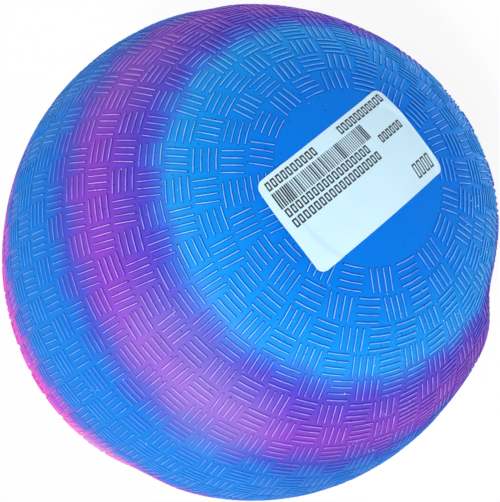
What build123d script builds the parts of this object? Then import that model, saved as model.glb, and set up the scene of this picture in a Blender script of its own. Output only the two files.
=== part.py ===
from build123d import *
import os
from math import asin, cos, degrees, radians, sin, sqrt

# A five inch inflatable rubber play ball with a raised rib texture and smooth polar panels.
# The origin is the ball's centre and +Z is up. The polar axis lies along Y: the labelled panel
# faces -Y and the valve faces +Y.

# Driving dimensions, in millimetres and degrees
ball_diameter = 127.0  # over the rib tops
rib_height = 0.35
cover_thickness = 1.25  # under the ribs
bladder_thickness = 0.9

panel_angle = 18.5  # from a pole to the edge of its smooth panel
ring_count = 12  # rings of rib tiles between a panel and the equator
ring_bow = 1.3  # how much nearer to its pole the middle of the rings lies than at even spacing
ring_gap = 0.55  # bare groove between two rings
lap_length = 3.0  # tongue of the front half inside the back half, at the equator

stem_diameter = 7.0
stem_length = 14.0
stem_end_diameter = 6.0
stem_recess = 0.2  # how far the stem's end lies below the rib tops
boss_diameter = 12.0  # raised ring of the cover round the stem
flange_diameter = 22.0
flange_thickness = 1.0
patch_diameter = 34.0
patch_thickness = 0.5

core_diameter = 4.0
core_length = 11.0
core_head_diameter = 5.4
core_head_thickness = 0.8
core_clearance = 0.05  # round the core, on the radius
core_end_gap = 0.1
needle_diameter = 1.9
needle_grip_length = 8.0
needle_mouth_diameter = 2.7
needle_mouth_depth = 0.4
air_hole_diameter = 2.6

label_length = 42.1  # along Z, measured over the ball
label_width = 23.5  # along X
label_thickness = 0.12
label_corner = 1.8
label_shift_x = 1.72
label_shift_z = 1.87

# Sizes worked out from them
top_radius = ball_diameter / 2
base_radius = top_radius - rib_height
bladder_radius = base_radius - cover_thickness
air_radius = bladder_radius - bladder_thickness
lap_radius = bladder_radius + cover_thickness / 2
lap_angle = degrees(lap_length / lap_radius)
patch_radius = bladder_radius + patch_thickness
patch_angle = degrees(asin(patch_diameter / 2 / patch_radius))
flange_radius = air_radius - flange_thickness
flange_angle = degrees(asin(flange_diameter / 2 / air_radius))
boss_angle = degrees(asin(boss_diameter / 2 / top_radius))
ring_pitch = (90 - panel_angle) / ring_count
gap_angle = degrees(ring_gap / top_radius)
stem_radius = stem_diameter / 2
stem_top = top_radius - stem_recess
stem_bottom = stem_top - stem_length
head_seat = stem_top - core_head_thickness
core_bottom = stem_top - core_length
core_radius = core_diameter / 2
core_head_radius = core_head_diameter / 2
bore_radius = core_radius + core_clearance
counterbore_radius = core_head_radius + core_clearance
needle_top = stem_top - needle_mouth_depth
needle_bottom = needle_top - needle_grip_length

FRONT = -1  # pole at -Y
BACK = 1  # pole at +Y


def at(radius, angle, pole):
    """Point of the XY profile at a radius from the centre and an angle from a pole."""
    return (radius * sin(radians(angle)), pole * radius * cos(radians(angle)))


def beside_axis(radius, offset):
    """Point of the XY profile near the back pole, on a circle about the centre, offset from the axis."""
    return (offset, sqrt(radius**2 - offset**2))


def angle_of(radius, offset):
    """Angle from the pole of a point on a circle about the centre, offset from the axis."""
    return degrees(asin(offset / radius))


def arc(radius, start, end, pole):
    """Arc about the ball's centre between two angles from a pole."""
    middle = (start + end) / 2
    return ThreePointArc(at(radius, start, pole), at(radius, middle, pole), at(radius, end, pole))


def ring_start(ring):
    """Angle from the pole at which a ring of rib tiles starts."""
    return panel_angle + ring * ring_pitch - ring_bow * sin(radians(180 * ring / ring_count)) ** 2


def ribbed_edge(start, pole):
    """Outer edge of a cover half from an angle on its panel to the equator.

    Each ring of rib tiles is one band at the height of the rib tops, beside bare grooves.
    """
    angle = start
    for ring in range(ring_count):
        band_start = ring_start(ring) + gap_angle / 2
        band_end = ring_start(ring + 1) - gap_angle / 2
        arc(base_radius, angle, band_start, pole)
        Line(at(base_radius, band_start, pole), at(top_radius, band_start, pole))
        arc(top_radius, band_start, band_end, pole)
        Line(at(top_radius, band_end, pole), at(base_radius, band_end, pole))
        angle = band_end
    arc(base_radius, angle, 90, pole)


# Front half of the cover, with the tongue of the lap seam on its inner side
with BuildPart() as cover_front_half:
    with BuildSketch(Plane.XY):
        with BuildLine():
            ribbed_edge(0, FRONT)
            Line(at(base_radius, 90, FRONT), at(lap_radius, 90, FRONT))
            arc(lap_radius, 90, 90 + lap_angle, FRONT)
            Line(at(lap_radius, 90 + lap_angle, FRONT), at(bladder_radius, 90 + lap_angle, FRONT))
            arc(bladder_radius, 90 + lap_angle, 0, FRONT)
            Line(at(bladder_radius, 0, FRONT), at(base_radius, 0, FRONT))
        make_face()
    revolve(axis=Axis.Y)

# Back half of the cover: lap seam, recess for the valve patch, stem opening and its raised ring
with BuildPart() as cover_back_half:
    with BuildSketch(Plane.XY):
        with BuildLine():
            arc(top_radius, angle_of(top_radius, stem_radius), boss_angle, BACK)
            Line(at(top_radius, boss_angle, BACK), at(base_radius, boss_angle, BACK))
            ribbed_edge(boss_angle, BACK)
            Line(at(base_radius, 90, BACK), at(lap_radius, 90, BACK))
            arc(lap_radius, 90, 90 - lap_angle, BACK)
            Line(at(lap_radius, 90 - lap_angle, BACK), at(bladder_radius, 90 - lap_angle, BACK))
            arc(bladder_radius, 90 - lap_angle, patch_angle, BACK)
            Line(at(bladder_radius, patch_angle, BACK), at(patch_radius, patch_angle, BACK))
            arc(patch_radius, patch_angle, angle_of(patch_radius, stem_radius), BACK)
            Line(beside_axis(patch_radius, stem_radius), beside_axis(top_radius, stem_radius))
        make_face()
    revolve(axis=Axis.Y)

# Airtight bladder, open only round the valve stem
with BuildPart() as bladder:
    with BuildSketch(Plane.XY):
        with BuildLine():
            arc(bladder_radius, 180, angle_of(bladder_radius, stem_radius), BACK)
            Line(beside_axis(bladder_radius, stem_radius), beside_axis(air_radius, stem_radius))
            arc(air_radius, angle_of(air_radius, stem_radius), 180, BACK)
            Line(at(air_radius, 0, FRONT), at(bladder_radius, 0, FRONT))
        make_face()
    revolve(axis=Axis.Y)

# Reinforcing disc between bladder and cover
with BuildPart() as valve_patch:
    with BuildSketch(Plane.XY):
        with BuildLine():
            arc(patch_radius, angle_of(patch_radius, stem_radius), patch_angle, BACK)
            Line(at(patch_radius, patch_angle, BACK), at(bladder_radius, patch_angle, BACK))
            arc(bladder_radius, patch_angle, angle_of(bladder_radius, stem_radius), BACK)
            Line(beside_axis(bladder_radius, stem_radius), beside_axis(patch_radius, stem_radius))
        make_face()
    revolve(axis=Axis.Y)

# Valve stem with its flange on the bladder's inner face, and the stepped bore for the core
with BuildPart() as valve_housing:
    with BuildSketch(Plane.XY):
        with BuildLine():
            Polyline(
                (counterbore_radius, stem_top),
                (stem_radius, stem_top),
                beside_axis(air_radius, stem_radius),
            )
            arc(air_radius, angle_of(air_radius, stem_radius), flange_angle, BACK)
            Line(at(air_radius, flange_angle, BACK), at(flange_radius, flange_angle, BACK))
            arc(flange_radius, flange_angle, angle_of(flange_radius, stem_radius), BACK)
            Polyline(
                beside_axis(flange_radius, stem_radius),
                (stem_end_diameter / 2, stem_bottom),
                (air_hole_diameter / 2, stem_bottom),
                (air_hole_diameter / 2, core_bottom - core_end_gap),
                (bore_radius, core_bottom - core_end_gap),
                (bore_radius, head_seat),
                (counterbore_radius, head_seat),
                (counterbore_radius, stem_top),
            )
        make_face()
    revolve(axis=Axis.Y)

# Self sealing core with a head on the counterbore's seat and a blind passage for the needle
with BuildPart() as valve_core:
    with BuildSketch(Plane.XY):
        with BuildLine():
            Polyline(
                (needle_mouth_diameter / 2, stem_top),
                (core_head_radius, stem_top),
                (core_head_radius, head_seat),
                (core_radius, head_seat),
                (core_radius, core_bottom),
                (0, core_bottom),
                (0, needle_bottom),
                (needle_diameter / 2, needle_bottom),
                (needle_diameter / 2, needle_top),
                (needle_mouth_diameter / 2, stem_top),
            )
        make_face()
    revolve(axis=Axis.Y)

# Paper label that lies on the front panel and climbs onto the first ring at its corners
label_reach = ring_start(1) - gap_angle / 2
label_climb = ring_start(0) + gap_angle / 2
label_step = label_climb - degrees(label_thickness / top_radius)
label_flat_length = 2 * base_radius * sin(label_length / 2 / base_radius)
label_flat_width = 2 * base_radius * sin(label_width / 2 / base_radius)
with BuildPart() as price_label:
    with BuildSketch(Plane.XY):
        with BuildLine():
            arc(base_radius, 0, label_climb, FRONT)
            Line(at(base_radius, label_climb, FRONT), at(top_radius, label_climb, FRONT))
            arc(top_radius, label_climb, label_reach, FRONT)
            Line(
                at(top_radius, label_reach, FRONT),
                at(top_radius + label_thickness, label_reach, FRONT),
            )
            arc(top_radius + label_thickness, label_reach, label_step, FRONT)
            Line(
                at(top_radius + label_thickness, label_step, FRONT),
                at(base_radius + label_thickness, label_step, FRONT),
            )
            arc(base_radius + label_thickness, label_step, 0, FRONT)
            Line(at(base_radius + label_thickness, 0, FRONT), at(base_radius, 0, FRONT))
        make_face()
    revolve(axis=Axis.Y)
    with BuildSketch(Plane.XZ):
        with Locations((label_shift_x, label_shift_z)):
            RectangleRounded(label_flat_width, label_flat_length, label_corner)
    extrude(amount=ball_diameter, mode=Mode.INTERSECT)

pieces = {
    "cover_front_half": cover_front_half,
    "cover_back_half": cover_back_half,
    "bladder": bladder,
    "valve_patch": valve_patch,
    "valve_housing": valve_housing,
    "valve_core": valve_core,
    "price_label": price_label,
}
os.makedirs("parts", exist_ok=True)
for name, piece in pieces.items():
    piece.part.label = name
    export_step(piece.part, f"parts/{name}.step")
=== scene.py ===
import math
import random

import bpy
import numpy as np
from mathutils import Matrix, Vector, noise
from mathutils.geometry import delaunay_2d_cdt


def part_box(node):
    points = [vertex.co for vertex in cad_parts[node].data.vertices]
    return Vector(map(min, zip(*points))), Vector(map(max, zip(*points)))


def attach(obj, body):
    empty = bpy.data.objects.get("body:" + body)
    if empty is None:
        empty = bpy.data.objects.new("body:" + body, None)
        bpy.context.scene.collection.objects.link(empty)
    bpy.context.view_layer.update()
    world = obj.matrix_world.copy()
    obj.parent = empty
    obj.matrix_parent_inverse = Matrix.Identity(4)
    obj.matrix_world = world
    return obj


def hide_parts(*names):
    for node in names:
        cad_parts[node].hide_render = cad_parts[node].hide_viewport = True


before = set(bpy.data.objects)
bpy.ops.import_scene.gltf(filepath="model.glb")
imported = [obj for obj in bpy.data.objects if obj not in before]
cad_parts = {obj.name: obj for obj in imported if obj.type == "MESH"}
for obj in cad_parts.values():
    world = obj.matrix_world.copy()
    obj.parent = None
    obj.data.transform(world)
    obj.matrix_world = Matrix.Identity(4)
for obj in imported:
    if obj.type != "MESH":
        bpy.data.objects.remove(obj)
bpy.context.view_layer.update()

# The rubber play ball: its polar axis lies along Y, with the label facing -Y and the valve +Y.
# Angles about that axis ("turn") start at +Z and grow towards +X. Lengths are in metres.
MM = 0.001
FRONT = -1
BACK = 1

# Sizes of the ball, from the frame
TOP_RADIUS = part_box("cover_back_half")[1].x
BLADDER_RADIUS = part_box("bladder")[1].x
LABEL_LOW, LABEL_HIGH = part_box("price_label")

# Sizes that the frame's boxes do not give
RIB_HEIGHT = 0.35 * MM
BASE_RADIUS = TOP_RADIUS - RIB_HEIGHT
LINING_GAP = 0.04 * MM  # between bladder and cover
INNER_RADIUS = BLADDER_RADIUS + LINING_GAP
BLADDER_WALL = 0.9 * MM
STEM_RADIUS = 3.5 * MM
OPENING_RADIUS = STEM_RADIUS + 0.03 * MM  # of the cover and the bladder round the stem
BOSS_RADIUS = 6.0 * MM

TINY = 1e-9  # stands in for no length in divisions and in triangulation

# Rings of rib tiles on each half, from the smooth polar panel to the equator
PANEL_ANGLE = math.radians(18.5)
RING_TILES = (20, 26, 31, 36, 41, 44, 49, 52, 54, 56, 58, 58)
RING_TURNS = (-6.2, 2.2, -1.4, -4.5, 12.5, -7.8, 6.2, 0.9, -5.3, 1.2, -4.8, 1.6)
RING_PITCH = (math.pi / 2 - PANEL_ANGLE) / len(RING_TILES)
RING_BOW = math.radians(1.3)  # how much nearer to the pole the middle rings lie than at even spacing
BACK_TURN = math.radians(360 / RING_TILES[-1])  # of the back half's rings from the front's
# Tiles of a ring whose ribs run the same way as those of the tile before
DOUBLED_TILES = {
    2: (7, 12, 19, 26),
    4: (20, 32),
    6: (24, 38),
    7: (9, 26),
    8: (9, 27),
    10: (9, 29),
}

# The front half's first rings lie a little to one side of its pole, less so from one angle to another
FIRST_RINGS_SHIFT = (0.84 * MM, 0.0, 0.14 * MM)
SHIFT_FADE = (math.radians(21.5), math.radians(33))

# One rib, and the four of them in a tile
RIBS_IN_TILE = 4
RIB_SPACING = 1.67 * MM
RIB_LENGTH = 6.0 * MM
RIB_HALF_WIDTH = 0.3 * MM
END_MARGIN = 0.32 * MM  # from the end of a rib along the ring to the edge of its tile
RING_MARGIN = 0.2 * MM  # from the end of a rib across the ring to the edge of its ring
SIDE_MARGIN = 0.16 * MM  # from the side of a rib across the ring to the edge of its tile
# Ribs across the ring lean by this much at the most, and less towards the turn where they stand straight
RIB_LEAN = math.radians(7)
STRAIGHT_TURN = math.radians(-4.4)
# Uneven hand of the mould's maker: degrees of a tile's twist and of a rib's, a rib's shift, and the
# shares of its full length and height between which chance picks
TILE_TWIST = 2.2
RIB_TWIST = 0.7
RIB_SHIFT = 0.05 * MM
LENGTH_SHARES = (0.93, 1.0)
HEIGHT_SHARES = (0.84, 1.0)
# Seeds of chance for the front half, the back half and the label's print
FRONT_SEED = 11
BACK_SEED = 12
PRINT_SEED = 5
# Outlines that build a rib up: inset from its foot, and share of its height
RIB_OUTLINES = ((-0.06 * MM, 0.0), (0.0, 0.10), (0.18 * MM, 0.80), (0.26 * MM, 1.0))
RIB_END_ANGLES = (-90, -30, 30, 90)
LEAST_STEP = 0.2 * MM  # closer corners of two rings are made one
COVER_SHARP = math.radians(70)  # edges sharper than this are not shaded smooth

# The photograph's view of the ball, in pixels and in ball radii
PHOTO_WIDTH = 500
PHOTO_HEIGHT = 502
BALL_PIXEL = (250.9, 251.6)
BALL_PIXEL_RADIUS = 248.0
CAMERA_DISTANCE = 5.0
POLE_TILT = math.radians(28.9)
POLE_TURN = math.radians(33.3)
LABEL_TURN = math.radians(5.64)
SENSOR = 36.0


def camera_axes():
    """Right, up and back axes of the photograph's camera, in the row frame."""
    pole = Vector((0, FRONT, 0))
    away = Vector((-math.sin(LABEL_TURN), 0, -math.cos(LABEL_TURN)))
    side = pole.cross(away)
    back = math.cos(POLE_TILT) * pole - math.sin(POLE_TILT) * away
    across = math.cos(POLE_TILT) * away + math.sin(POLE_TILT) * pole
    right = math.cos(POLE_TURN) * across - math.sin(POLE_TURN) * side
    up = math.sin(POLE_TURN) * across + math.cos(POLE_TURN) * side
    return right, up, back


RIGHT, UP, TOWARDS_CAMERA = camera_axes()
FOCUS = BALL_PIXEL_RADIUS * math.sqrt(CAMERA_DISTANCE**2 - 1)


def photo_direction(x, y):
    """Unit vector from the ball's centre to the place that is seen at a pixel of the photograph."""
    across = (x - BALL_PIXEL[0]) * RIGHT - (y - BALL_PIXEL[1]) * UP
    ray = (across - FOCUS * TOWARDS_CAMERA).normalized()
    start = CAMERA_DISTANCE * TOWARDS_CAMERA
    nearest = -start.dot(ray)
    depth = nearest - math.sqrt(max(nearest**2 - CAMERA_DISTANCE**2 + 1, 0))
    return (start + depth * ray).normalized()


# Soft shape: an under-inflated ball's swellings and dents


def outline_direction(degrees, behind):
    """Direction at an angle anticlockwise from the photograph's right, and degrees behind the outline."""
    angle = math.radians(degrees)
    away = math.acos(1 / CAMERA_DISTANCE) + math.radians(behind)
    ring = math.cos(angle) * RIGHT + math.sin(angle) * UP
    return np.array(math.sin(away) * ring + math.cos(away) * TOWARDS_CAMERA)


# Angle round the outline and behind it, rise, and spread in degrees along and across the outline
LOBES = (
    (33, 0, 1.5 * MM, 21, 21),
    (-82, 0, 0.25 * MM, 26, 24),
    (-117, 0, -0.8 * MM, 5, 10),
    (-143, 0, 1.0 * MM, 13, 16),
    (-169, 0, 0.5 * MM, 11, 16),
    (130, 0, 0.22 * MM, 28, 24),
    (100.5, 0, -0.4 * MM, 3, 8),
    (-4, 3, -1.3 * MM, 7, 12),
    (-9.5, 3, -1.2 * MM, 4, 10),
    (-22, 0, 0.8 * MM, 7, 9),
)


def soften(points):
    """The points of a true ball, moved in and out along their radius by the lobes."""
    radius = np.linalg.norm(points, axis=1, keepdims=True)
    unit = points / radius
    rise = np.zeros(len(points))
    for angle, behind, height, spread_along, spread_across in LOBES:
        centre = outline_direction(angle, behind)
        along = np.cross(np.array(TOWARDS_CAMERA), centre)
        along /= np.linalg.norm(along)
        across = np.cross(centre, along)
        flat = np.degrees(np.arccos(np.clip(unit @ centre, -1, 1)))
        a, b = unit @ along, unit @ across
        length = np.maximum(np.hypot(a, b), TINY)
        reach = (flat * a / length / spread_along) ** 2 + (flat * b / length / spread_across) ** 2
        rise += height * np.exp(-reach / 2)
    return points + unit * rise[:, None]


# Mesh of one half of the cover


def eased(share):
    """A share from 0 to 1, with a soft start and end."""
    return share**2 * (3 - 2 * share)


def off_centre(points):
    """The points with the front half's first rings moved to one side, at the radius they have."""
    radius = np.linalg.norm(points, axis=1, keepdims=True)
    colat = np.arccos(np.clip(FRONT * points[:, 1] / radius[:, 0], -1, 1))
    share = np.clip((SHIFT_FADE[1] - colat) / (SHIFT_FADE[1] - SHIFT_FADE[0]), 0, 1)
    moved = points + eased(share)[:, None] * np.array(FIRST_RINGS_SHIFT)
    return moved * radius / np.linalg.norm(moved, axis=1, keepdims=True)


# Groups of faces, with the factors on a place there that give the way out of the rubber
FACES_AWAY = {"outer": (1, 1, 1), "wall": (-1, 0, -1), "inner": (-1, -1, -1), "rim": (0, 0, 0)}


class Skin:
    """Points and faces drawn on one half of the ball.

    Each point has its share of a rib's height, and how far ribs along the ring shelter it from spray.
    """

    def __init__(self, pole):
        self.pole = pole
        self.points = []
        self.ribs = []
        self.lees = []
        self.faces = {group: [] for group in FACES_AWAY}

    def add(self, radius, colat, turn, rib=0.0, lee=0.0):
        ring = radius * math.sin(colat)
        y = self.pole * radius * math.cos(colat)
        self.points.append((ring * math.sin(turn), y, ring * math.cos(turn)))
        self.ribs.append(rib)
        self.lees.append(lee)
        return len(self.points) - 1

    def circle(self, radius, colat, count):
        return [self.add(radius, colat, 2 * math.pi * i / count) for i in range(count)]

    def strip(self, first, second, group="outer"):
        """Joins two closed loops of as many points."""
        count = len(first)
        for i in range(count):
            j = (i + 1) % count
            self.faces[group].append((first[i], first[j], second[j], second[i]))

    def fill(self, flat, loops, holes=(), edges=(), group="outer"):
        """Triangulates between closed loops. flat gives each point's place in a plane.

        Triangles inside a hole, or past an edge's slight bow, are left out.
        """
        order = list(flat)
        place = {index: i for i, index in enumerate(order)}
        lines = []
        for loop in loops:
            lines += [(place[loop[i - 1]], place[loop[i]]) for i in range(len(loop))]
        plane = [Vector(flat[index]) for index in order]
        made = delaunay_2d_cdt(plane, lines, [], 0, TINY)
        left_out = [set(points) for points in (*holes, *edges)]
        for face in made[2]:
            corners = [order[made[3][i][0]] for i in face]
            if not any(points.issuperset(corners) for points in left_out):
                self.faces[group].append(tuple(corners))

    def facing_out(self, points):
        """All faces, group by group, turned to face out of the rubber."""
        turned = []
        for group, factors in FACES_AWAY.items():
            rim = (0, -self.pole, 0) if group == "rim" else (0, 0, 0)
            for face in self.faces[group]:
                a, b, c = (points[i] for i in face[:3])
                way = np.dot(np.cross(b - a, c - a), (a + b + c) * factors + rim)
                turned.append(face if way > 0 else face[::-1])
        return turned


def merged_turns(turns, colat):
    """Sorted turns about the axis, without any that lie closer than the least step."""
    least = LEAST_STEP / (BASE_RADIUS * math.sin(colat))
    kept = []
    for turn in sorted(t % (2 * math.pi) for t in turns):
        if not kept or turn - kept[-1] > least:
            kept.append(turn)
    if kept[0] + 2 * math.pi - kept[-1] < least:
        kept.pop()
    return kept


def ring_start(ring):
    """Angle from the pole at which a ring of tiles starts."""
    return PANEL_ANGLE + ring * RING_PITCH - RING_BOW * math.sin(math.pi * ring / len(RING_TILES)) ** 2


def ring_corners(ring, start):
    """Turns of the tile corners of a ring, and of the middles between them."""
    count = RING_TILES[ring]
    first = math.radians(RING_TURNS[ring]) + start - math.pi / count
    return [first + i * math.pi / count for i in range(2 * count)]


def nearest(turns, turn):
    """Index of the listed turn that lies nearest to a turn."""
    gaps = [abs((t - turn + math.pi) % (2 * math.pi) - math.pi) for t in turns]
    return gaps.index(min(gaps))


def span(points, first, last):
    """Points of a closed loop from one index on to another."""
    count = (last - first) % len(points) + 1
    return [points[(first + i) % len(points)] for i in range(count)]


def rib_outline(half_length, half_width, inset):
    """Points round a bar with rounded ends, with one point halfway along each side."""
    reach = half_length - half_width
    radius = half_width - inset
    ends = [math.radians(a) for a in RIB_END_ANGLES]
    far = [(reach + radius * math.cos(a), radius * math.sin(a)) for a in ends]
    near = [(-x, -y) for x, y in far]
    return far + [(0.0, radius)] + near + [(0.0, -radius)]


def add_rib(skin, to_ball, centre, longest, lean, along_ring, chance):
    """One raised rib: the outlines stacked up, and a cap. Returns its foot's points and their places."""
    half_length = longest * chance.uniform(*LENGTH_SHARES)
    height = RIB_HEIGHT * chance.uniform(*HEIGHT_SHARES)
    lean += math.radians(chance.uniform(-RIB_TWIST, RIB_TWIST))
    shift = [place + chance.uniform(-RIB_SHIFT, RIB_SHIFT) for place in centre]
    cosine, sine = math.cos(lean), math.sin(lean)
    loops = []
    flat = {}
    for inset, share in RIB_OUTLINES:
        lee = 1 - share if along_ring else 0
        loop = []
        for x, y in rib_outline(half_length, RIB_HALF_WIDTH, inset):
            u = shift[0] + cosine * x - sine * y
            v = shift[1] + sine * x + cosine * y
            index = skin.add(BASE_RADIUS + height * share, *to_ball(u, v), share, lee)
            if not loops:
                flat[index] = (u, v)
            loop.append(index)
        if loops:
            skin.strip(loops[-1], loop)
        loops.append(loop)
    # Cap: the far end, the two halves of the bar and the near end
    top = loops[-1]
    skin.faces["outer"] += [
        (top[0], top[1], top[2], top[3]),
        (top[3], top[4], top[9], top[0]),
        (top[4], top[5], top[8], top[9]),
        (top[5], top[6], top[7], top[8]),
    ]
    return loops[0], flat


def add_tile(skin, colat, turn, half_angle, half_ring, along_ring, boundary, edges, chance):
    """One tile: four ribs, along the ring or across it, and the bare rubber round them."""

    def to_ball(u, v):
        at = colat + v / BASE_RADIUS
        return at, turn + u / (BASE_RADIUS * math.sin(at))

    def half_tile(v):
        """Half the tile's width at a place across the ring."""
        return half_angle * BASE_RADIUS * math.sin(colat + v / BASE_RADIUS)

    flat = dict(boundary)
    feet = []
    middle = (RIBS_IN_TILE - 1) / 2
    lean = math.radians(chance.uniform(-TILE_TWIST, TILE_TWIST))
    if along_ring:
        room = half_ring - SIDE_MARGIN - RIB_HALF_WIDTH - abs(math.sin(lean)) * RIB_LENGTH / 2
        spacing = min(RIB_SPACING, room / middle)
        aside = (-math.sin(lean) * spacing, math.cos(lean) * spacing)
    else:
        lean += math.pi / 2 - RIB_LEAN * math.sin(turn - STRAIGHT_TURN)
        longest = min(RIB_LENGTH / 2, half_ring - RING_MARGIN)
        room = half_tile(-longest) - SIDE_MARGIN - RIB_HALF_WIDTH - abs(math.cos(lean)) * longest
        aside = (min(RIB_SPACING, room / middle), 0)
    for i in range(RIBS_IN_TILE):
        centre = [(i - middle) * part for part in aside]
        if along_ring:
            longest = min(RIB_LENGTH / 2, half_tile(centre[1] - RIB_HALF_WIDTH) - END_MARGIN)
        foot, places = add_rib(skin, to_ball, centre, longest, lean, along_ring, chance)
        feet.append(foot)
        flat.update(places)
    skin.fill(flat, [list(boundary), *feet], holes=feet, edges=edges)


def add_rings(skin, start, chance):
    """All rings of tiles of a half. Returns the points of the panel's edge and of the equator."""
    count = len(RING_TILES)
    colats = [ring_start(i) for i in range(count + 1)]
    corners = [ring_corners(ring, start) for ring in range(count)]
    turns, circles = [], []
    for i, colat in enumerate(colats):
        beside = corners[max(i - 1, 0)] + corners[min(i, count - 1)]
        turns.append(merged_turns(beside, colat))
        circles.append([skin.add(BASE_RADIUS, colat, turn) for turn in turns[i]])
    for ring in range(count):
        add_ring(skin, ring, colats, corners[ring], turns, circles, chance)
    return circles[0], circles[-1]


def add_ring(skin, ring, colats, corners, turns, circles, chance):
    """One ring of tiles, whose ribs run along the ring and across it by turns, but for the doubled tiles."""
    tiles = RING_TILES[ring]
    low, high = colats[ring], colats[ring + 1]
    colat = (low + high) / 2
    half_ring = (high - low) / 2 * BASE_RADIUS
    along_ring = False
    at_low = [nearest(turns[ring], corner) for corner in corners[::2]]
    at_high = [nearest(turns[ring + 1], corner) for corner in corners[::2]]
    sides = [
        [skin.add(BASE_RADIUS, low + (high - low) * share, corner) for share in (1 / 3, 2 / 3)]
        for corner in corners[::2]
    ]
    for tile in range(tiles):
        if tile not in DOUBLED_TILES.get(ring, ()):
            along_ring = not along_ring
        after = (tile + 1) % tiles
        near = span(circles[ring], at_low[tile], at_low[after])
        far = span(circles[ring + 1], at_high[tile], at_high[after])
        turn = corners[2 * tile + 1]
        outline = near + sides[after] + far[::-1] + sides[tile][::-1]
        boundary = {index: tile_place(skin, index, colat, turn) for index in outline}
        left = [near[0], *sides[tile], far[0]]
        right = [near[-1], *sides[after], far[-1]]
        edges = (near, far, left, right)
        add_tile(skin, colat, turn, math.pi / tiles, half_ring, along_ring, boundary, edges, chance)


def tile_place(skin, index, colat, turn):
    """Place of a point of the skin in the plane of the tile centred there."""
    x, y, z = skin.points[index]
    at = math.atan2(math.hypot(x, z), skin.pole * y)
    swing = (math.atan2(x, z) - turn + math.pi) % (2 * math.pi) - math.pi
    return swing * BASE_RADIUS * math.sin(at), (at - colat) * BASE_RADIUS


def flat_place(skin, index):
    """Place of a point of the skin in a plane seen along the polar axis."""
    x, _, z = skin.points[index]
    return x, z


# Circles of points on a smooth panel: degrees from the pole, and how many points
PANEL_CIRCLES = ((15, 40), (11.5, 32), (8, 24), (4.5, 14), (1.5, 6))


def add_front_panel(skin, edge):
    """Smooth disc at the front pole."""
    inside = [skin.add(BASE_RADIUS, 0, 0)]
    for degrees, count in PANEL_CIRCLES:
        inside += skin.circle(BASE_RADIUS, math.radians(degrees), count)
    flat = {index: flat_place(skin, index) for index in [*edge, *inside]}
    skin.fill(flat, [edge])


BOSS_POINTS = 64
BOSS_FOOT = BOSS_RADIUS + 0.15 * MM
# The boss from its foot to the opening's inner end: radius, and height over the bare rubber
BOSS_PROFILE = (
    (BOSS_RADIUS, 0.04 * MM),
    (BOSS_RADIUS - 0.18 * MM, 0.26 * MM),
    (BOSS_RADIUS - 0.45 * MM, RIB_HEIGHT),
    (STEM_RADIUS + 0.45 * MM, RIB_HEIGHT),
    (STEM_RADIUS + 0.15 * MM, 0.28 * MM),
    (OPENING_RADIUS, 0.05 * MM),
    (OPENING_RADIUS, INNER_RADIUS - BASE_RADIUS),
)


def add_back_panel(skin, edge):
    """Smooth ring at the back pole, the raised boss round the valve and the wall of its opening."""

    def level(radius, height):
        ball = BASE_RADIUS + height
        return skin.circle(ball, math.asin(radius / ball), BOSS_POINTS)

    foot = level(BOSS_FOOT, 0)
    middle = []
    for degrees, count in PANEL_CIRCLES[:2]:
        middle += skin.circle(BASE_RADIUS, math.radians(degrees), count)
    flat = {index: flat_place(skin, index) for index in [*edge, *middle, *foot]}
    skin.fill(flat, [edge, foot], holes=[foot])
    last = foot
    for radius, height in BOSS_PROFILE:
        loop = level(radius, height)
        skin.strip(last, loop, "outer" if height >= 0 else "wall")
        last = loop
    return last


INNER_POINTS = 64
INNER_CIRCLES = 18


def add_lining(skin, equator, opening):
    """Inner face of the cover and the rim at the equator, which close the shell."""
    rim = skin.circle(INNER_RADIUS, math.pi / 2, INNER_POINTS)
    flat = {index: flat_place(skin, index) for index in [*equator, *rim]}
    skin.fill(flat, [equator, rim], holes=[rim], group="rim")
    last = rim
    stop = math.asin(OPENING_RADIUS / INNER_RADIUS) if opening else 0
    for i in range(1, INNER_CIRCLES):
        colat = math.pi / 2 + (stop - math.pi / 2) * i / INNER_CIRCLES
        loop = skin.circle(INNER_RADIUS, colat, INNER_POINTS)
        skin.strip(last, loop, "inner")
        last = loop
    if opening:
        skin.strip(last, opening, "inner")
    else:
        tip = skin.add(INNER_RADIUS, 0, 0)
        skin.faces["inner"] += [(last[i - 1], last[i], tip) for i in range(INNER_POINTS)]


def new_piece(name, points, faces, body, material, replaced=()):
    """A smooth shaded mesh object that rides on a body."""
    mesh = bpy.data.meshes.new(name)
    mesh.from_pydata([tuple(p) for p in points], [], faces)
    mesh.shade_smooth()
    mesh.materials.append(material)
    piece = bpy.data.objects.new(name, mesh)
    bpy.context.scene.collection.objects.link(piece)
    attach(piece, body)
    if replaced:
        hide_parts(*replaced)
    return piece


OUTER_MAP = (0.5, 0.49)  # middle and reach of the outer face's disc in the texture map
INNER_MAP = (0.085, 0.08)  # the same for the inner face and the rim
RIM_SHARE = 0.05


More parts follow.
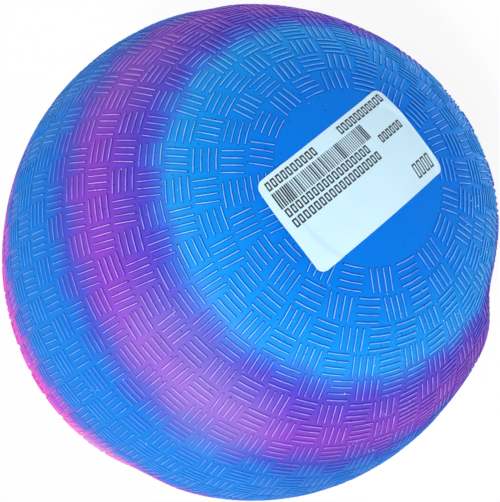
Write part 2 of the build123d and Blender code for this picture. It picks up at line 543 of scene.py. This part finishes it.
def add_map(piece, skin):
    """Texture map of a half: two discs of the angle from its pole, for its outer and inner faces."""
    points = np.array(skin.points)
    radius = np.linalg.norm(points, axis=1)
    colat = np.arccos(np.clip(skin.pole * points[:, 1] / radius, -1, 1)) / (math.pi / 2)
    depth = RIM_SHARE * (radius - INNER_RADIUS) / (BASE_RADIUS - INNER_RADIUS)
    turn = np.arctan2(points[:, 0], points[:, 2])
    around = np.stack((np.sin(turn), np.cos(turn)), axis=1)
    outer = OUTER_MAP[0] + OUTER_MAP[1] * colat[:, None] * around
    inner = INNER_MAP[0] + INNER_MAP[1] * (colat + depth)[:, None] * around
    mesh = piece.data
    corners = np.empty(len(mesh.loops), np.int32)
    mesh.loops.foreach_get("vertex_index", corners)
    starts = np.empty(len(mesh.polygons), np.int32)
    mesh.polygons.foreach_get("loop_start", starts)
    first_inner = starts[len(skin.faces["outer"]) + len(skin.faces["wall"])]
    places = np.concatenate((outer[corners[:first_inner]], inner[corners[first_inner:]]))
    layer = mesh.uv_layers.new(name="OFBake")
    layer.uv.foreach_set("vector", places.astype(np.float32).ravel())


def cover_half(name, node, pole, start, material, seed):
    """One half of the cover, with its rings of ribs, its polar panel and its lining."""
    skin = Skin(pole)
    edge, equator = add_rings(skin, start, random.Random(seed))
    opening = None
    if pole == FRONT:
        add_front_panel(skin, edge)
    else:
        opening = add_back_panel(skin, edge)
    add_lining(skin, equator, opening)
    points = np.array(skin.points)
    piece = new_piece(
        name, soften(off_centre(points)), skin.facing_out(points), "ball", material, (node,)
    )
    for attribute, values in (("rib", skin.ribs), ("lee", skin.lees)):
        layer = piece.data.attributes.new(attribute, "FLOAT", "POINT")
        layer.data.foreach_set("value", np.array(values, np.float32))
    piece.data.set_sharp_from_angle(angle=COVER_SHARP)
    add_map(piece, skin)
    return piece


# Materials


def linear(red, green, blue):
    """Linear colour with alpha from 0 to 255 display values."""
    parts = [c / 255 for c in (red, green, blue)]
    return [c / 12.92 if c <= 0.04045 else ((c + 0.055) / 1.055) ** 2.4 for c in parts] + [1.0]


class Nodes:
    """Short names for building the node tree of a material or of the world."""

    def __init__(self, owner):
        owner.use_nodes = True
        self.tree = owner.node_tree
        self.shader = self.tree.nodes.get("Principled BSDF")

    def node(self, kind, settings=None, **inputs):
        made = self.tree.nodes.new(kind)
        for key, value in (settings or {}).items():
            setattr(made, key, value)
        for key, value in inputs.items():
            self.put(made.inputs[key.replace("_", " ")], value)
        return made

    def place(self):
        """Place on the object, in metres."""
        return self.node("ShaderNodeTexCoord").outputs["Object"]

    def put(self, socket, value):
        if isinstance(value, bpy.types.NodeSocket):
            self.tree.links.new(value, socket)
        else:
            socket.default_value = value

    def math(self, operation, first, second=0.0, third=0.0, clamp=False):
        made = self.tree.nodes.new("ShaderNodeMath")
        made.operation = operation
        made.use_clamp = clamp
        for socket, value in zip(made.inputs, (first, second, third)):
            self.put(socket, value)
        return made.outputs[0]

    def between(self, value, low, high, to_low=0.0, to_high=1.0):
        """Value taken from one range to another, and held at its ends."""
        made = self.node("ShaderNodeMapRange", {"interpolation_type": "SMOOTHSTEP"})
        for key, number in zip(("Value", "From Min", "From Max", "To Min", "To Max"),
                               (value, low, high, to_low, to_high)):
            self.put(made.inputs[key], number)
        return made.outputs[0]

    def mix(self, factor, first, second, blend="MIX"):
        made = self.tree.nodes.new("ShaderNodeMix")
        made.data_type = "RGBA"
        made.blend_type = blend
        made.clamp_result = True
        self.put(made.inputs["Factor"], factor)
        self.put(made.inputs[6], first)
        self.put(made.inputs[7], second)
        return made.outputs[2]

    def noise(self, vector, scale, detail, roughness):
        made = self.node("ShaderNodeTexNoise", Vector=vector, Scale=scale, Detail=detail, Roughness=roughness)
        return made.outputs["Fac"]

    def bump(self, height, strength, depth):
        return self.node("ShaderNodeBump", Strength=strength, Distance=depth, Height=height).outputs["Normal"]

    def set(self, **values):
        for key, value in values.items():
            self.put(self.shader.inputs[key.replace("_", " ")], value)


WHITE = (1.0, 1.0, 1.0, 1.0)

# Noises: scale per metre, detail and roughness
CLOUD = (55.0, 4.0, 0.62)
GRAIN = (1400.0, 2.0, 0.5)
RUB_AND_GLINT = (300.0, 3.0, 0.5)
SHEEN = (240.0, 3.0, 0.5)
PORES = (2600.0, 3.0, 0.55)
MOTTLE = (420.0, 4.0, 0.6)
DULL_GRAIN = (3000.0, 2.0, 0.5)
FIBRE = (2200.0, 4.0, 0.6)
STAIN = (90.0, 3.0, 0.5)
INK_WEAR = (1800.0, 3.0, 0.6)
NOISE_MIDDLE = 0.5

# Bumps that go with them: strength and depth
PORE_BUMP = (0.12, 0.05 * MM)
GRAIN_BUMP = (0.25, 0.04 * MM)
FIBRE_BUMP = (0.1, 0.02 * MM)

# Sprayed colours of the cover by angle from the front pole, in degrees
COVER_COLOURS = (
    (0, (2, 112, 218)),
    (22, (4, 118, 222)),
    (34, (14, 140, 230)),
    (39.5, (34, 146, 230)),
    (42.5, (62, 101, 216)),
    (45.5, (80, 70, 199)),
    (51, (110, 66, 194)),
    (57, (138, 68, 196)),
    (61, (119, 71, 194)),
    (65.5, (64, 84, 198)),
    (70, (27, 112, 209)),
    (75, (24, 121, 212)),
    (82, (20, 122, 212)),
    (87.5, (34, 119, 208)),
    (91, (86, 101, 203)),
    (95, (166, 86, 196)),
    (99, (210, 76, 190)),
    (112, (224, 78, 190)),
    (117, (196, 72, 198)),
    (123, (146, 70, 206)),
    (129, (190, 72, 200)),
    (136, (222, 76, 190)),
    (180, (228, 82, 194)),
)
# Degrees by which spray is shifted on a rib's flank, between ribs along the ring, and by uneven hand
FLANK_SHIFT = 3.5
LEE_SHIFT = -0.7
CLOUD_SHIFT = 5.0
GRAIN_SHIFT = 2.5
NEAR_CORE = 0.2  # of a place's reach, out to which it is in full
# Places that got more or less spray: pixel of the photograph, reach in ball radii, and degrees
SPRAY_PLACES = (
    (425, 78, 0.35, -3.5),
    (492, 190, 0.75, -4.5),
    (490, 300, 0.5, -1.2),
    (206, 495, 0.6, -3.0),
)
# Worn places: pixel of the photograph, and reach in ball radii
WORN_PLACES = ((476, 240, 0.26), (458, 315, 0.22), (392, 425, 0.22), (394, 340, 0.18))
# Pale haze, partly painted sheen, and patches of painted shade: pixel of the photograph, reach in ball radii,
# share and colour
SHEEN_AND_SHADE_PLACES = (
    (170, 350, 0.33, 0.08, (215, 235, 255)),
    (216, 420, 0.3, 0.10, (215, 235, 255)),
    (120, 60, 0.5, 0.035, (215, 235, 255)),
    (97, 448, 0.28, 0.2, (255, 240, 250)),
    (470, 385, 0.5, 0.22, (40, 20, 110)),
    (335, 475, 0.45, 0.18, (40, 20, 110)),
)
# Rib tops lighter, partly rubbed wear and partly painted highlight: shares of a rib's height between which
# they begin, range of noise and the wear and highlight there, gain on the rubber's colour, red of the blue
# and of the violet rubber, and shares of white on them
CREST = (0.82, 1.0)
RUB_AND_GLINT_NOISE = (0.3, 0.65)
RUB_AND_GLINT_STRENGTH = (0.35, 0.95)
CREST_GAIN = (2.3, 2.3, 2.3, 1.0)
CREST_RED = (0.0, 0.2)
CREST_PALE = (0.33, 0.44)
# Painted shade at the feet of ribs: shares of a rib's height between which it comes and goes, and its colour
FOOT_COMES = (0.0, 0.1)
FOOT_GOES = (0.25, 0.7)
FOOT_SHADE_COLOUR = (22, 14, 130)
# Heights along Y, in ball radii, where the front cap ends, and the rib tops' wear and painted highlight and
# the rib feet's painted shade on it and past it
FRONT_CAP = (-0.66, -0.3)
CAP_WEAR_AND_HIGHLIGHT = (1.0, 0.62)
CAP_SHADE = (0.58, 0.2)
# Dots: size of a cell, share of the cells that have one, what worn places add to it, and least and most
# radius as shares of the cell
DIRT_DOTS = (1.1 * MM, 0.85, 0.1, 0.09, 0.2)
SCUFF_DOTS = (0.7 * MM, 0.02, 0.55, 0.1, 0.3)
DIRT_COLOUR = (12, 16, 50)
SCUFF_COLOUR = (180, 236, 252)
DOT_WOBBLE = 0.6  # of a cell, which makes dots uneven
DOT_POWER = 3.0  # the higher, the fewer dots are large
DOT_CORE = 0.7  # of a dot's radius, out to which it is in full
DOT_STRENGTH = (0.45, 0.5)  # the least, and what chance adds
# Roughness of the cover, with what noise and scuffs add to it
COVER_ROUGH = 0.37
SHEEN_ROUGH = 0.10
SCUFF_ROUGH = 0.2
COVER_SPECULAR = 0.035


def sprayed_angle(n, place, direction):
    """Angle from the front pole as a share of a half turn, shifted the way that spray lands."""
    normal = n.node("ShaderNodeNewGeometry").outputs["Normal"]
    height = n.node("ShaderNodeSeparateXYZ", Vector=direction).outputs["Y"]
    angle = n.math("ARCCOSINE", n.math("MULTIPLY", height, -1.0))
    facing = n.node("ShaderNodeVectorMath", {"operation": "DOT_PRODUCT"})
    n.put(facing.inputs[0], direction)
    n.put(facing.inputs[1], normal)
    level = n.math("MULTIPLY", facing.outputs["Value"], height)
    tilt = n.math("SUBTRACT", n.node("ShaderNodeSeparateXYZ", Vector=normal).outputs["Y"], level)
    lee = n.node("ShaderNodeAttribute", {"attribute_name": "lee"}).outputs["Fac"]
    cloud = n.math("SUBTRACT", n.noise(place, *CLOUD), NOISE_MIDDLE)
    grain = n.math("SUBTRACT", n.noise(place, *GRAIN), NOISE_MIDDLE)
    shifts = ((tilt, FLANK_SHIFT), (lee, LEE_SHIFT), (cloud, CLOUD_SHIFT), (grain, GRAIN_SHIFT))
    for amount, degrees in shifts:
        angle = n.math("MULTIPLY_ADD", amount, math.radians(degrees), angle)
    for x, y, reach, degrees in SPRAY_PLACES:
        angle = n.math("MULTIPLY_ADD", nearness(n, direction, x, y, reach), math.radians(degrees), angle)
    return n.math("DIVIDE", angle, math.pi)


def nearness(n, direction, x, y, reach):
    """1 round the place at a pixel of the photograph, falling to 0 at its reach."""
    away = n.node("ShaderNodeVectorMath", {"operation": "DISTANCE"})
    n.put(away.inputs[0], direction)
    n.put(away.inputs[1], photo_direction(x, y))
    return n.between(away.outputs["Value"], NEAR_CORE * reach, reach, 1.0, 0.0)


def most_near(n, direction, places):
    """The greatest nearness to any of the places."""
    share = 0.0
    for x, y, reach in places:
        share = n.math("MAXIMUM", share, nearness(n, direction, x, y, reach))
    return share


def dots(n, place, worn, kind):
    """Uneven dots of one kind, and more of them on worn places."""
    cell, share, growth, least, most = kind
    bent = n.node("ShaderNodeTexNoise", Vector=place, Scale=1 / cell)
    wobble = n.node("ShaderNodeVectorMath", {"operation": "MULTIPLY_ADD"})
    n.put(wobble.inputs[0], bent.outputs["Color"])
    n.put(wobble.inputs[1], (DOT_WOBBLE * cell,) * 3)
    n.put(wobble.inputs[2], place)
    cells = n.node("ShaderNodeTexVoronoi", Vector=wobble.outputs[0], Scale=1 / cell)
    pick = n.node("ShaderNodeSeparateColor", Color=cells.outputs["Color"])
    size = n.math("MULTIPLY_ADD", n.math("POWER", pick.outputs["Green"], DOT_POWER), most - least, least)
    dot = n.between(cells.outputs["Distance"], n.math("MULTIPLY", size, DOT_CORE), size, 1.0, 0.0)
    chosen = n.math("LESS_THAN", pick.outputs["Red"], n.math("MULTIPLY_ADD", worn, growth, share))
    faintest, extra = DOT_STRENGTH
    strength = n.math("MULTIPLY_ADD", pick.outputs["Blue"], extra, faintest)
    return n.math("MULTIPLY", n.math("MULTIPLY", dot, chosen), strength)


def cover_rubber():
    """Satin moulded rubber with the sprayed colours, rib tops lighter from wear and painted highlight,
    painted shade at rib feet, pale haze that is partly painted sheen, patches of painted shade, dirt specks
    and scuffs.
    """
    material = bpy.data.materials.new("cover_rubber")
    n = Nodes(material)
    place = n.place()
    unit = n.node("ShaderNodeVectorMath", {"operation": "NORMALIZE"})
    n.put(unit.inputs[0], place)
    direction = unit.outputs[0]
    rib = n.node("ShaderNodeAttribute", {"attribute_name": "rib"}).outputs["Fac"]

    ramp = n.node("ShaderNodeValToRGB", Fac=sprayed_angle(n, place, direction))
    stops = ramp.color_ramp.elements
    while len(stops) < len(COVER_COLOURS):
        stops.new(1.0)
    for stop, (angle, colour) in zip(stops, COVER_COLOURS):
        stop.position = angle / 180
        stop.color = linear(*colour)
    colour = ramp.outputs["Color"]

    # Rib tops lighter and uneven, partly rubbed wear and partly painted highlight, and painted shade at the
    # foot of a rib, both most on the front cap
    height = n.node("ShaderNodeSeparateXYZ", Vector=direction).outputs["Y"]
    rub_and_glint = n.between(n.noise(place, *RUB_AND_GLINT), *RUB_AND_GLINT_NOISE, *RUB_AND_GLINT_STRENGTH)
    rub_and_glint = n.math("MULTIPLY", rub_and_glint, n.between(height, *FRONT_CAP, *CAP_WEAR_AND_HIGHLIGHT))
    crest = n.math("MULTIPLY", n.between(rib, *CREST), rub_and_glint)
    red = n.node("ShaderNodeSeparateColor", Color=colour).outputs["Red"]
    pale = n.between(red, *CREST_RED, *CREST_PALE)
    bright = n.mix(pale, n.mix(1.0, colour, CREST_GAIN, "MULTIPLY"), WHITE)
    colour = n.mix(crest, colour, bright)
    # Painted shade in the groove at each rib's foot, stronger on the front cap
    foot = n.math("MULTIPLY", n.between(rib, *FOOT_COMES), n.between(rib, *FOOT_GOES, 1.0, 0.0))
    cap_shade = n.between(height, *FRONT_CAP, *CAP_SHADE)
    colour = n.mix(n.math("MULTIPLY", foot, cap_shade), colour, linear(*FOOT_SHADE_COLOUR))

    # Pale haze, partly painted sheen, and patches of painted shade
    for x, y, reach, share, tint in SHEEN_AND_SHADE_PLACES:
        amount = n.math("MULTIPLY", nearness(n, direction, x, y, reach), share)
        colour = n.mix(amount, colour, linear(*tint))

    # Dirt specks all over, and pale scuffs on the worn places
    worn = most_near(n, direction, WORN_PLACES)
    colour = n.mix(dots(n, place, worn, DIRT_DOTS), colour, linear(*DIRT_COLOUR))
    scuff = dots(n, place, worn, SCUFF_DOTS)
    colour = n.mix(scuff, colour, linear(*SCUFF_COLOUR))

    sheen = n.math("MULTIPLY_ADD", n.noise(place, *SHEEN), SHEEN_ROUGH, COVER_ROUGH)
    rough = n.math("MULTIPLY_ADD", scuff, SCUFF_ROUGH, sheen)
    bump = n.bump(n.noise(place, *PORES), *PORE_BUMP)
    n.set(Base_Color=colour, Roughness=rough, Normal=bump, Specular_IOR_Level=COVER_SPECULAR)
    return material


# Plain rubbers: colour, darker colour of the mottle, and roughness
BLADDER_RUBBER = ((40, 40, 44), (24, 24, 27), 0.6)
VALVE_RUBBER = ((206, 74, 178), (176, 60, 152), 0.5)
CORE_RUBBER = ((52, 50, 54), (30, 29, 32), 0.65)
ROUGH_SPREAD = 0.2  # of a plain rubber's roughness, from least to most


def plain_rubber(name, colour, darker, roughness):
    """Dull rubber with a soft mottle and a fine grain."""
    material = bpy.data.materials.new(name)
    n = Nodes(material)
    place = n.place()
    mottle = n.noise(place, *MOTTLE)
    n.set(
        Base_Color=n.mix(mottle, linear(*darker), linear(*colour)),
        Roughness=n.math("MULTIPLY_ADD", mottle, ROUGH_SPREAD, roughness - ROUGH_SPREAD / 2),
        Normal=n.bump(n.noise(place, *DULL_GRAIN), *GRAIN_BUMP),
    )
    return material


# Paper: its two colours, its fibres' colour, range of noise and share, its roughness and specular level
PAPER_COLOURS = ((192, 225, 243), (206, 236, 248))
FIBRE_COLOUR = (180, 200, 205)
FIBRE_NOISE = (0.62, 0.8)
FIBRE_SHARE = 0.12
PAPER_ROUGH = 0.55
PAPER_SPECULAR = 0.3
# Ink: its two colours and its roughness
INK_COLOURS = ((16, 18, 24), (44, 48, 56))
INK_ROUGH = 0.6


def label_paper():
    """Coated white paper with faint fibre and a little grime."""
    material = bpy.data.materials.new("label_paper")
    n = Nodes(material)
    place = n.place()
    fibre = n.noise(place, *FIBRE)
    colour = n.mix(n.noise(place, *STAIN), *(linear(*tone) for tone in PAPER_COLOURS))
    colour = n.mix(n.between(fibre, *FIBRE_NOISE, 0.0, FIBRE_SHARE), colour, linear(*FIBRE_COLOUR))
    bump = n.bump(fibre, *FIBRE_BUMP)
    n.set(Base_Color=colour, Roughness=PAPER_ROUGH, Normal=bump, Specular_IOR_Level=PAPER_SPECULAR)
    return material


def thermal_ink():
    """Dark print with the slight mottle of a label printer."""
    material = bpy.data.materials.new("label_ink")
    n = Nodes(material)
    place = n.place()
    colour = n.mix(n.noise(place, *INK_WEAR), *(linear(*tone) for tone in INK_COLOURS))
    n.set(Base_Color=colour, Roughness=INK_ROUGH)
    return material


# Price label


LABEL_THICKNESS = 0.12 * MM
LABEL_CORNER = 1.8 * MM
LABEL_STEP = 0.4 * MM
LABEL_CLIMB = (math.radians(16.8), math.radians(18.3))  # angles where it leaves the panel and is on the ribs
LABEL_GAP = 0.01 * MM  # between paper and rubber
LABEL_SHARP = math.radians(40)  # edges sharper than this are not shaded smooth
CORNER_STEPS = 6
EDGE_MARGIN = 0.45 * LABEL_STEP  # from the label's edge to the first points inside
RIPPLE_SCALE = 190
RIPPLE_HEIGHT = 0.05 * MM
INK_LIFT = 0.02 * MM
# How far the label's corners are drawn in along Z, at its high and low ends, on their +X and -X sides
CORNER_PULLS = ((1.25 * MM, 0.25 * MM), (0.55 * MM, 0.55 * MM))


def bowed(x, z):
    """Z of a place on the label with its ends bowed, as those of a flat sheet on a ball are."""
    along = (2 * z - LABEL_HIGH.z - LABEL_LOW.z) / (LABEL_HIGH.z - LABEL_LOW.z)
    beside = (2 * x - LABEL_HIGH.x - LABEL_LOW.x) / (LABEL_HIGH.x - LABEL_LOW.x)
    pull = CORNER_PULLS[along < 0][beside < 0]
    return z - pull * beside**2 * along * abs(along)


def label_point(x, z, lift):
    """Point of the label over a place in the plane seen along Y: on the panel, or up on the ribs."""
    z = bowed(x, z)
    ring = math.hypot(x, z)
    colat = math.asin(ring / BASE_RADIUS)
    share = min(max((colat - LABEL_CLIMB[0]) / (LABEL_CLIMB[1] - LABEL_CLIMB[0]), 0), 1)
    climb = eased(share) * RIB_HEIGHT
    ripple = noise.noise(Vector((x, z, 0)) * RIPPLE_SCALE) * RIPPLE_HEIGHT
    radius = BASE_RADIUS + climb + lift + max(ripple, -LABEL_GAP)
    scale = radius / BASE_RADIUS
    return x * scale, -radius * math.cos(colat), z * scale


def rounded_rectangle():
    """Outline of the label in the plane seen along Y."""
    left, right = LABEL_LOW.x + LABEL_CORNER, LABEL_HIGH.x - LABEL_CORNER
    low, high = LABEL_LOW.z + LABEL_CORNER, LABEL_HIGH.z - LABEL_CORNER
    points = []
    for x, z, start in ((right, high, 0), (left, high, 90), (left, low, 180), (right, low, 270)):
        for step in range(CORNER_STEPS + 1):
            angle = math.radians(start + 90 * step / CORNER_STEPS)
            points.append((x + LABEL_CORNER * math.cos(angle), z + LABEL_CORNER * math.sin(angle)))
    dense = []
    for i, (x, z) in enumerate(points):
        to_x, to_z = points[(i + 1) % len(points)]
        parts = max(1, round(math.hypot(to_x - x, to_z - z) / LABEL_STEP))
        dense += [(x + (to_x - x) * k / parts, z + (to_z - z) * k / parts) for k in range(parts)]
    return dense


def price_label(material):
    """Thin curved sheet with rounded corners, on the panel and over the first ribs."""
    outline = rounded_rectangle()
    columns = int((LABEL_HIGH.x - LABEL_LOW.x) / LABEL_STEP)
    rows = int((LABEL_HIGH.z - LABEL_LOW.z) / LABEL_STEP)
    inside = []
    for i in range(1, columns):
        for j in range(1, rows):
            x = LABEL_LOW.x + i * LABEL_STEP
            z = LABEL_LOW.z + j * LABEL_STEP
            over_x = max(LABEL_LOW.x + LABEL_CORNER - x, x - LABEL_HIGH.x + LABEL_CORNER, 0)
            over_z = max(LABEL_LOW.z + LABEL_CORNER - z, z - LABEL_HIGH.z + LABEL_CORNER, 0)
            if math.hypot(over_x, over_z) < LABEL_CORNER - EDGE_MARGIN:
                inside.append((x, z))
    flat = [Vector(p) for p in outline + inside]
    count = len(outline)
    lines = [(i, (i + 1) % count) for i in range(count)]
    made = delaunay_2d_cdt(flat, lines, [], 1, TINY)
    plane = [tuple(p) for p in made[0]]
    number = len(plane)
    points = [label_point(x, z, LABEL_THICKNESS) for x, z in plane]
    points += [label_point(x, z, LABEL_GAP) for x, z in plane]
    ends = set(range(count))
    faces = []
    for face in made[2]:
        a, b, c = (flat_cross(plane, face, k) for k in range(3))
        top = tuple(face) if a + b + c > 0 else tuple(reversed(face))
        faces.append(top)
        faces.append(tuple(i + number for i in reversed(top)))
    loop = [i for i in range(number) if set(made[3][i]) & ends]
    loop.sort(key=lambda i: min(set(made[3][i]) & ends))
    for k, i in enumerate(loop):
        j = loop[(k + 1) % len(loop)]
        faces.append((j, i, i + number, j + number))
    piece = new_piece(
        "paper_label", soften(np.array(points)), faces, "ball", material, ("price_label",)
    )
    piece.data.set_sharp_from_angle(angle=LABEL_SHARP)


def flat_cross(plane, face, k):
    """Cross product of two corners of a face in the plane, for its signed area."""
    (x1, y1), (x2, y2) = plane[face[k]], plane[face[(k + 1) % 3]]
    return x1 * y2 - x2 * y1


# Generic print: places on the label as shares of its length and of its height from the top edge
BAR_GROUP = (0.041, 0.71, 0.155, 0.322)
BAR_COUNT = 50
BAR_WIDTHS = (0.35, 0.5, 0.68)  # of a bar's place in the group
# Lines of empty boxes: start, end, top, bottom and how many
BOX_LINES = (
    (0.043, 0.397, 0.043, 0.128, 10),
    (0.574, 0.975, 0.043, 0.128, 11),
    (0.744, 0.952, 0.347, 0.430, 6),
    (0.046, 0.651, 0.336, 0.420, 17),
    (0.045, 0.682, 0.447, 0.532, 18),
    (0.806, 0.974, 0.763, 0.913, 4),
)
BOX_SHARE = 0.74  # of its place in the line
BOX_STROKE = (0.008, 0.016)  # of its sides, and of its top and bottom
INK_STEP = 0.012  # between points of the ink's mesh
INK_GAP = 0.0005  # between a box's strokes


def label_print(material):
    """Plain bars and empty boxes, which stand for no code or words."""
    points, faces = [], []
    chance = random.Random(PRINT_SEED)

    def patch(start, end, top, bottom):
        """One closed plate of ink, its lower side a little way down in the paper."""
        across = max(1, math.ceil((end - start) / INK_STEP))
        down = max(1, math.ceil((bottom - top) / INK_STEP))
        width = across + 1
        count = width * (down + 1)
        first = len(points)
        for lift in (LABEL_THICKNESS + INK_LIFT, LABEL_THICKNESS - INK_LIFT):
            for j in range(down + 1):
                for i in range(width):
                    s = start + (end - start) * i / across
                    t = top + (bottom - top) * j / down
                    z = LABEL_HIGH.z + (LABEL_LOW.z - LABEL_HIGH.z) * s
                    x = LABEL_HIGH.x + (LABEL_LOW.x - LABEL_HIGH.x) * t
                    points.append(label_point(x, z, lift))
        for j in range(down):
            for i in range(across):
                a = first + j * width + i
                face = (a, a + width, a + width + 1, a + 1)
                faces.append(face)
                faces.append(tuple(k + count for k in reversed(face)))
        rim = [first + i for i in range(width)]
        rim += [first + j * width + across for j in range(1, down + 1)]
        rim += [first + down * width + i for i in range(across - 1, -1, -1)]
        rim += [first + j * width for j in range(down - 1, 0, -1)]
        for k, a in enumerate(rim):
            b = rim[(k + 1) % len(rim)]
            faces.append((a, b, b + count, a + count))

    left, right, top, bottom = BAR_GROUP
    pitch = (right - left) / BAR_COUNT
    for i in range(BAR_COUNT):
        start = left + pitch * i
        patch(start, start + pitch * chance.choice(BAR_WIDTHS), top, bottom)
    side, rail = BOX_STROKE
    for left, right, top, bottom, count in BOX_LINES:
        for i in range(count):
            start = left + (right - left) * i / count
            end = start + (right - left) * BOX_SHARE / count
            patch(start, start + side, top, bottom)
            patch(end - side, end, top, bottom)
            patch(start + side + INK_GAP, end - side - INK_GAP, top, top + rail)
            patch(start + side + INK_GAP, end - side - INK_GAP, bottom - rail, bottom)
    piece = new_piece("label_print", soften(np.array(points)), faces, "ball", material)
    piece.data.set_sharp_from_angle(angle=LABEL_SHARP)


# Bladder that follows the cover's soft shape


BLADDER_POINTS = 96
BLADDER_CIRCLES = 48


def bladder_skin(material):
    """Airtight inner ball, open round the valve stem, with a wall of its own."""
    skin = Skin(FRONT)
    inner_radius = BLADDER_RADIUS - BLADDER_WALL
    circles = range(1, BLADDER_CIRCLES + 1)
    loops = []
    for radius, order in ((BLADDER_RADIUS, circles), (inner_radius, reversed(circles))):
        stop = math.asin(OPENING_RADIUS / radius)
        for i in order:
            loops.append(skin.circle(radius, (math.pi - stop) * i / BLADDER_CIRCLES, BLADDER_POINTS))
    for first, second in zip(loops, loops[1:]):
        skin.strip(first, second)
    outer_tip = skin.add(BLADDER_RADIUS, 0, 0)
    inner_tip = skin.add(inner_radius, 0, 0)
    faces = skin.faces["outer"]
    for i in range(BLADDER_POINTS):
        faces.append((outer_tip, loops[0][i], loops[0][i - 1]))
        faces.append((inner_tip, loops[-1][i - 1], loops[-1][i]))
    points = soften(np.array(skin.points))
    new_piece("bladder_skin", points, faces, "ball", material, ("bladder",))


# Stage: floor, light and camera


FLOOR_SIZE = 6.0
FLOOR_COLOUR = (245, 245, 245)
FLOOR_ROUGH = 0.9
FLOOR_GLOW = 0.92  # share of the floor's look that is plain white, apart from light and shadow
KEY_DIRECTION = -0.27 * RIGHT - 0.54 * UP + 0.79 * TOWARDS_CAMERA
KEY_DISTANCE = 0.9
KEY_SIZE = 0.14
KEY_POWER = 4.5
ZENITH_LIGHT = 1.0
HORIZON_LIGHT = 0.3
CLIP_START = 0.01
HALF_PIXEL = 0.5  # from a pixel's corner to its middle


def seen_share(n):
    """1 on rays from the camera, and on those that gloss or glass sends on, and else 0."""
    path = n.node("ShaderNodeLightPath").outputs
    share = n.math("MAXIMUM", path["Is Camera Ray"], path["Is Glossy Ray"])
    return n.math("MAXIMUM", share, path["Is Transmission Ray"])


def pale_floor(height):
    """White floor, whose look is mostly even and keeps a faint shadow of the ball."""
    mesh = bpy.data.meshes.new("floor")
    half = FLOOR_SIZE / 2
    corners = [(-half, -half, 0), (half, -half, 0), (half, half, 0), (-half, half, 0)]
    mesh.from_pydata(corners, [], [(0, 1, 2, 3)])
    floor = bpy.data.objects.new("floor", mesh)
    floor.location.z = height
    bpy.context.scene.collection.objects.link(floor)
    material = bpy.data.materials.new("pale_floor")
    n = Nodes(material)
    n.set(Base_Color=linear(*FLOOR_COLOUR), Roughness=FLOOR_ROUGH, Specular_IOR_Level=0.0)
    white = n.node("ShaderNodeEmission", Strength=1.0)
    blend = n.tree.nodes.new("ShaderNodeMixShader")
    n.put(blend.inputs[0], n.math("MULTIPLY", seen_share(n), FLOOR_GLOW))
    n.put(blend.inputs[1], n.shader.outputs[0])
    n.put(blend.inputs[2], white.outputs[0])
    n.put(n.tree.nodes["Material Output"].inputs["Surface"], blend.outputs[0])
    mesh.materials.append(material)


def key_light():
    """Square soft lamp that shines on the ball."""
    lamp = bpy.data.lights.new("key", "AREA")
    lamp.size = KEY_SIZE
    lamp.energy = KEY_POWER
    holder = bpy.data.objects.new("key", lamp)
    holder.location = KEY_DIRECTION.normalized() * KEY_DISTANCE
    holder.rotation_euler = KEY_DIRECTION.to_track_quat("Z", "Y").to_euler()
    bpy.context.scene.collection.objects.link(holder)


def pale_world():
    """White light from all round, stronger from above. The camera sees it as white."""
    world = bpy.data.worlds.new("studio")
    n = Nodes(world)
    way = n.node("ShaderNodeTexCoord").outputs["Generated"]
    height = n.node("ShaderNodeSeparateXYZ", Vector=way).outputs["Z"]
    light = n.node("ShaderNodeMapRange", Value=height, To_Min=HORIZON_LIGHT, To_Max=ZENITH_LIGHT)
    strength = n.node("ShaderNodeMix", Factor=seen_share(n), A=light.outputs["Result"], B=1.0)
    sky = n.tree.nodes["Background"]
    n.put(sky.inputs["Color"], WHITE)
    n.put(sky.inputs["Strength"], strength.outputs["Result"])
    bpy.context.scene.world = world


def photo_camera():
    """Camera that sees the ball as the photograph does."""
    camera = bpy.data.cameras.new("photo_camera")
    long_side = max(PHOTO_WIDTH, PHOTO_HEIGHT)
    camera.sensor_width = SENSOR
    camera.lens = FOCUS * SENSOR / long_side
    camera.shift_x = (PHOTO_WIDTH / 2 - BALL_PIXEL[0] - HALF_PIXEL) / long_side
    camera.shift_y = (BALL_PIXEL[1] + HALF_PIXEL - PHOTO_HEIGHT / 2) / long_side
    camera.clip_start = CLIP_START
    holder = bpy.data.objects.new("photo_camera", camera)
    turned = Matrix((RIGHT, UP, TOWARDS_CAMERA)).transposed().to_4x4()
    holder.matrix_world = Matrix.Translation(TOWARDS_CAMERA * CAMERA_DISTANCE * TOP_RADIUS) @ turned
    bpy.context.scene.collection.objects.link(holder)
    bpy.context.scene.camera = holder


def set_material(node, material):
    """Gives a CAD node's object one material."""
    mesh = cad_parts[node].data
    mesh.materials.clear()
    mesh.materials.append(material)


rubber = cover_rubber()
black_rubber = plain_rubber("bladder_rubber", *BLADDER_RUBBER)
front = cover_half("ribbed_cover_front", "cover_front_half", FRONT, 0.0, rubber, FRONT_SEED)
back = cover_half("ribbed_cover_back", "cover_back_half", BACK, BACK_TURN, rubber, BACK_SEED)
price_label(label_paper())
label_print(thermal_ink())
bladder_skin(black_rubber)
set_material("valve_patch", black_rubber)
set_material("valve_housing", plain_rubber("valve_rubber", *VALVE_RUBBER))
set_material("valve_core", plain_rubber("core_rubber", *CORE_RUBBER))

bpy.context.scene.view_settings.view_transform = "Standard"
lowest = min(v.co.z for piece in (front, back) for v in piece.data.vertices)
pale_floor(lowest)
key_light()
pale_world()
photo_camera()
